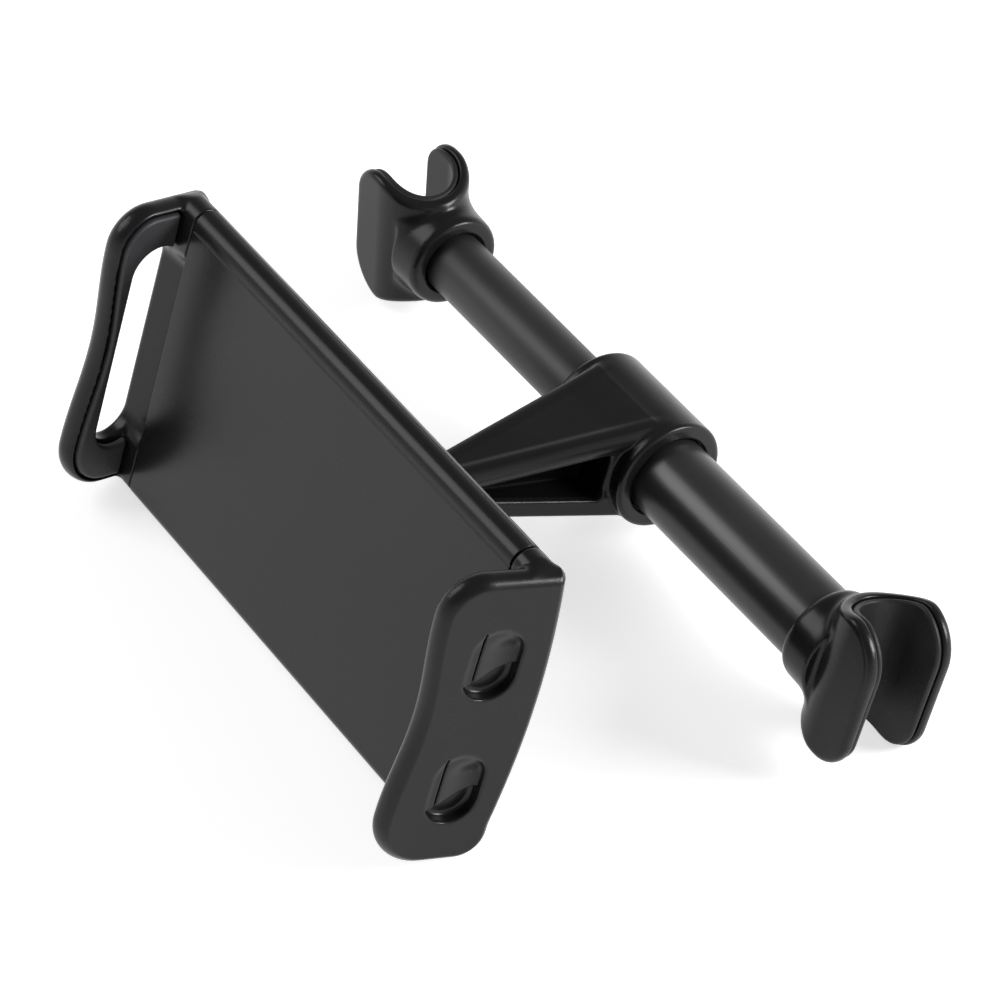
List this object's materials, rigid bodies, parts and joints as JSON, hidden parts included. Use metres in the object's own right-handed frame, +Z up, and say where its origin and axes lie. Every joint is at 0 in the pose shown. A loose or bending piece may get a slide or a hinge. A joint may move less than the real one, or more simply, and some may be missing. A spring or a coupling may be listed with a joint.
{
  "type": "headrest tablet mount",
  "caption": "Telescoping sprung bar with a U hook at each end for headrest posts, and a wedge arm with a ball joint that holds a tablet tray with a pull-out jaw.",
  "frame": {"origin": "where the axis of the right hook's post crosses the bar's axis", "axes": "+X along the bar towards the outer tube's hook, +Y away from the viewer of the tablet, +Z up along the headrest posts"},
  "size_m": [0.1834, 0.1102, 0.0705],
  "materials": {
    "tube_metal": "satin dark grey anodised",
    "black_abs": "fine satin moulded",
    "tray_abs": "semi-gloss moulded",
    "soft_rubber": "matt soft-touch",
    "nylon": "low-friction moulded",
    "steel": "zinc plated"
  },
  "bodies": {
    "bar": {"outer_tube": "tube_metal", "mouth_bush": "nylon", "bar_spring": "steel", "right_end_plug": "nylon", "right_hook_screw": "steel"},
    "slider": {"inner_tube": "tube_metal", "slide_bush": "nylon", "left_end_plug": "nylon", "left_hook_screw": "steel"},
    "left_hook": {"left_hook_shell": "black_abs", "left_hook_liner": "soft_rubber"},
    "right_hook": {"right_hook_shell": "black_abs", "right_hook_liner": "soft_rubber"},
    "arm": {"wedge_arm": "black_abs", "hub_bush_left": "nylon", "hub_bush_right": "nylon", "ball_stud": "steel"},
    "ball_seat": {"ball_seat": "nylon"},
    "lock_nut": {"lock_nut": "black_abs"},
    "tray": {"ball_socket": "black_abs", "tray_front": "tray_abs", "tray_back": "tray_abs", "tray_screws": "steel", "right_jaw": "black_abs", "right_grip_pad": "soft_rubber", "jaw_spring_upper": "steel", "jaw_spring_lower": "steel"},
    "left_jaw": {"left_jaw": "black_abs", "left_grip_pad": "soft_rubber"}
  },
  "joints": [
    {"name": "bar_slide", "type": "slide", "parent": "bar", "child": "slider", "axis": [1, 0, 0], "range_m": [0, 0.04], "stiffness_N_per_m": 400, "springref_m": -0.03, "deforming": ["bar_spring"]},
    {"name": "left_hook_swivel", "type": "hinge", "parent": "slider", "child": "left_hook", "pos_m": [-0.1504, 0, 0], "axis": [1, 0, 0], "continuous": true},
    {"name": "right_hook_swivel", "type": "hinge", "parent": "bar", "child": "right_hook", "pos_m": [-0.0158, 0, 0], "axis": [1, 0, 0], "continuous": true},
    {"name": "arm_swivel", "type": "hinge", "parent": "bar", "child": "arm", "pos_m": [-0.0831, 0, 0], "axis": [1, 0, 0], "range_deg": [-90, 90]},
    {"name": "ball_pan", "type": "hinge", "parent": "arm", "child": "ball_seat", "pos_m": [-0.0831, -0.061, -0.0036], "axis": [0, 0, 1], "range_deg": [-12, 12]},
    {"name": "ball_tilt", "type": "hinge", "parent": "ball_seat", "child": "lock_nut", "pos_m": [-0.0831, -0.061, -0.0036], "axis": [1, 0, 0], "range_deg": [-12, 12]},
    {"name": "tray_roll", "type": "hinge", "parent": "lock_nut", "child": "tray", "pos_m": [-0.0831, -0.061, -0.0036], "axis": [0, 1, 0], "continuous": true},
    {"name": "jaw_slide", "type": "slide", "parent": "tray", "child": "left_jaw", "axis": [-1, 0, 0], "range_m": [0, 0.06], "stiffness_N_per_m": 150, "springref_m": -0.02, "deforming": ["jaw_spring_upper", "jaw_spring_lower"]}
  ]
}
